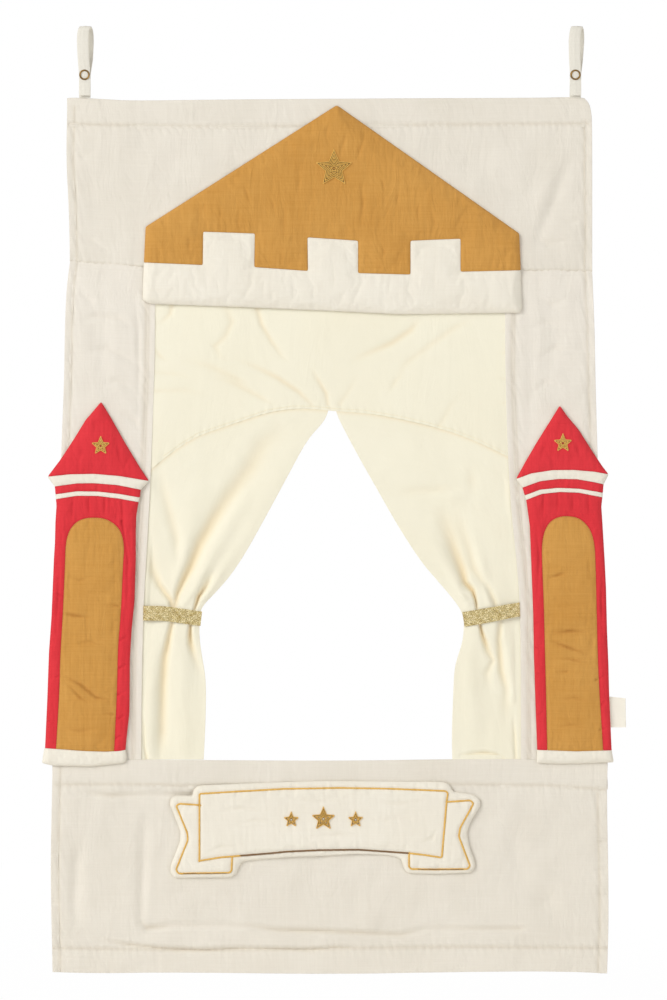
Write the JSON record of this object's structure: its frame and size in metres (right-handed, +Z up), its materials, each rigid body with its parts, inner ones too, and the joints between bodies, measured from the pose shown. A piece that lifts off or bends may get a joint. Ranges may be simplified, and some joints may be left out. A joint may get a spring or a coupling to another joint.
{
  "type": "hanging puppet theatre",
  "caption": "Fabric puppet theatre that hangs in a doorway from snap loops: canvas round a stage window, tied-back curtains, padded castle roof, towers and banner.",
  "frame": {"origin": "midway between the two hanging loops, level with the inside of their crowns", "axes": "+Z up, +X to the right as the audience sees it, -Y towards the audience"},
  "size_m": [0.7952, 0.0239, 1.2962],
  "materials": {
    "canvas": "plain-weave natural cotton canvas",
    "cream": "soft cream cotton",
    "white": "off-white cotton, padded",
    "mustard": "mustard cotton with a slubby weave, padded",
    "red": "red cotton, padded",
    "glitter": "gold glitter ribbon",
    "thread": "gold embroidery thread",
    "brass": "antique brass",
    "wood": "plain beech dowel"
  },
  "bodies": {
    "root": {"upper_panel": "canvas", "lower_panel": "canvas", "left_side_strip": "canvas", "right_side_strip": "canvas", "side_label": "white", "valance": "cream", "roof_gable": "mustard", "battlement": "white", "roof_backing": "white", "roof_emblem": "thread", "left_tower_base_hem": "white", "left_tower_body": "red", "left_tower_arch_window": "mustard", "left_tower_thin_band": "white", "left_tower_neck_band": "red", "left_tower_eaves_band": "white", "left_tower_roof": "red", "left_tower_backing": "white", "left_tower_emblem": "thread", "right_tower_base_hem": "white", "right_tower_body": "red", "right_tower_arch_window": "mustard", "right_tower_thin_band": "white", "right_tower_neck_band": "red", "right_tower_eaves_band": "white", "right_tower_roof": "red", "right_tower_backing": "white", "right_tower_emblem": "thread", "banner_pad": "white", "banner_backing": "white", "banner_frame_line": "thread", "banner_left_tail_line": "thread", "banner_right_tail_line": "thread", "banner_left_star": "thread", "banner_centre_star": "thread", "banner_right_star": "thread", "left_loop_strap": "canvas", "left_snap_plate": "brass", "left_snap_stud": "brass", "right_loop_strap": "canvas", "right_snap_plate": "brass", "right_snap_stud": "brass"},
    "left_curtain": {"left_curtain": "cream", "left_tieback_back": "glitter"},
    "left_tieback": {"left_tieback_front": "glitter"},
    "right_curtain": {"right_curtain": "cream", "right_tieback_back": "glitter"},
    "right_tieback": {"right_tieback_front": "glitter"},
    "left_loop_flap": {"left_loop_flap": "canvas", "left_snap_cap": "brass", "left_snap_socket": "brass"},
    "right_loop_flap": {"right_loop_flap": "canvas", "right_snap_cap": "brass", "right_snap_socket": "brass"},
    "top_rod": {"top_rod": "wood"},
    "sill_rod": {"sill_rod": "wood"}
  },
  "joints": [
    {"name": "left_curtain_swing", "type": "hinge", "parent": "root", "child": "left_curtain", "pos_m": [-0.25263, 0.0008, -0.803], "axis": [0.0317, 0, 0.9995], "range_deg": [0, 60]},
    {"name": "right_curtain_swing", "type": "hinge", "parent": "root", "child": "right_curtain", "pos_m": [0.25247, 0.0008, -0.798], "axis": [0.0317, 0, -0.9995], "range_deg": [0, 60]},
    {"name": "left_tieback_open", "type": "hinge", "parent": "left_curtain", "child": "left_tieback", "pos_m": [-0.25263, -0.00165, -0.803], "axis": [-0.0317, 0, -0.9995], "range_deg": [0, 90]},
    {"name": "right_tieback_open", "type": "hinge", "parent": "right_curtain", "child": "right_tieback", "pos_m": [0.25247, -0.00165, -0.798], "axis": [-0.0317, 0, 0.9995], "range_deg": [0, 90]},
    {"name": "left_loop_flap_open", "type": "hinge", "parent": "root", "child": "left_loop_flap", "pos_m": [-0.336, -0.0086, -0.02743], "axis": [-1, 0, 0], "range_deg": [0, 150]},
    {"name": "right_loop_flap_open", "type": "hinge", "parent": "root", "child": "right_loop_flap", "pos_m": [0.336, -0.0086, -0.02743], "axis": [-1, 0, 0], "range_deg": [0, 150]},
    {"name": "top_rod_slide", "type": "slide", "parent": "root", "child": "top_rod", "axis": [1, 0, 0], "range_m": [0, 0.645]},
    {"name": "sill_rod_slide", "type": "slide", "parent": "root", "child": "sill_rod", "axis": [1, 0, 0], "range_m": [0, 0.688]}
  ]
}
